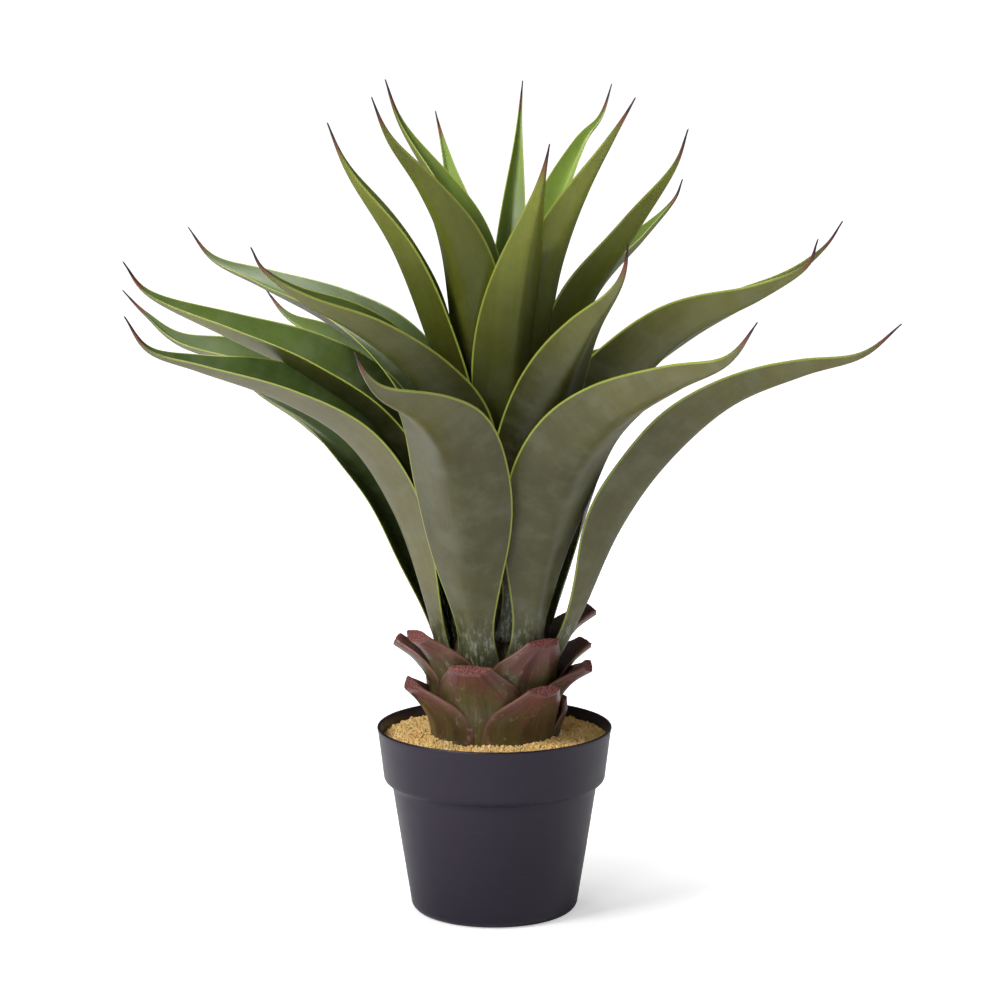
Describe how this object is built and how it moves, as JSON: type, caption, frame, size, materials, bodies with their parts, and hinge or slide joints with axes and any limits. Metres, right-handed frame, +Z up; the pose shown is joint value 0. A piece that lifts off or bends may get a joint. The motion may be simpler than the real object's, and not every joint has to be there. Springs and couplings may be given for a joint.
{
  "type": "potted rosette succulent",
  "caption": "Potted rosette plant: folded arching leaves with dark spine tips on a short stem of cut leaf bases, in a black nursery pot topped with tan grit.",
  "frame": {"origin": "centre of the pot's flat underside, where it stands", "axes": "+Z up along the pot's axis; -Y is the front of the plant, +X its right-hand side as seen from the front"},
  "size_m": [0.6168, 0.5999, 0.6693],
  "materials": {
    "pot": "satin black moulded plastic with a soft sheen",
    "soil": "dark bark-based potting mix",
    "grit": "coarse ochre grit top dressing",
    "stem": "olive-brown fibrous stem",
    "stub": "maroon to olive cut leaf bases, granular on the cut",
    "leaf": "waxy olive green with yellow-green margins and dark spine tips"
  },
  "bodies": {
    "root": {"pot": "pot", "stem": "stem", "soil": "soil", "grit": "grit", "stub_low_left": "stub", "stub_low_front_right": "stub", "stub_low_right": "stub", "stub_low_back": "stub", "stub_low_back_left": "stub", "stub_middle_front": "stub", "stub_middle_right": "stub", "stub_middle_right_back": "stub", "stub_middle_back": "stub", "stub_middle_left": "stub", "stub_high_front_left": "stub", "stub_high_front_right": "stub", "stub_high_right_back": "stub", "stub_high_back": "stub", "leaf_low_right_far": "leaf", "leaf_low_right_front": "leaf", "leaf_low_front": "leaf", "leaf_low_left": "leaf", "leaf_low_left_back": "leaf", "leaf_low_back": "leaf", "leaf_low_back_right": "leaf", "leaf_low_right_back": "leaf", "leaf_mid_left": "leaf", "leaf_mid_left_back": "leaf", "leaf_mid_left_far": "leaf", "leaf_mid_left_behind": "leaf", "leaf_mid_front_left": "leaf", "leaf_mid_front_right": "leaf", "leaf_mid_right": "leaf", "leaf_mid_right_back": "leaf", "leaf_mid_back_left": "leaf", "leaf_mid_back": "leaf", "leaf_mid_back_right": "leaf", "leaf_up_left": "leaf", "leaf_up_front_left": "leaf", "leaf_up_left_back": "leaf", "leaf_up_right": "leaf", "leaf_up_right_front": "leaf", "leaf_up_right_back": "leaf", "leaf_up_front": "leaf", "leaf_up_back_left": "leaf", "leaf_up_back": "leaf", "leaf_up_back_right": "leaf", "leaf_up_back_low": "leaf"}
  },
  "joints": []
}
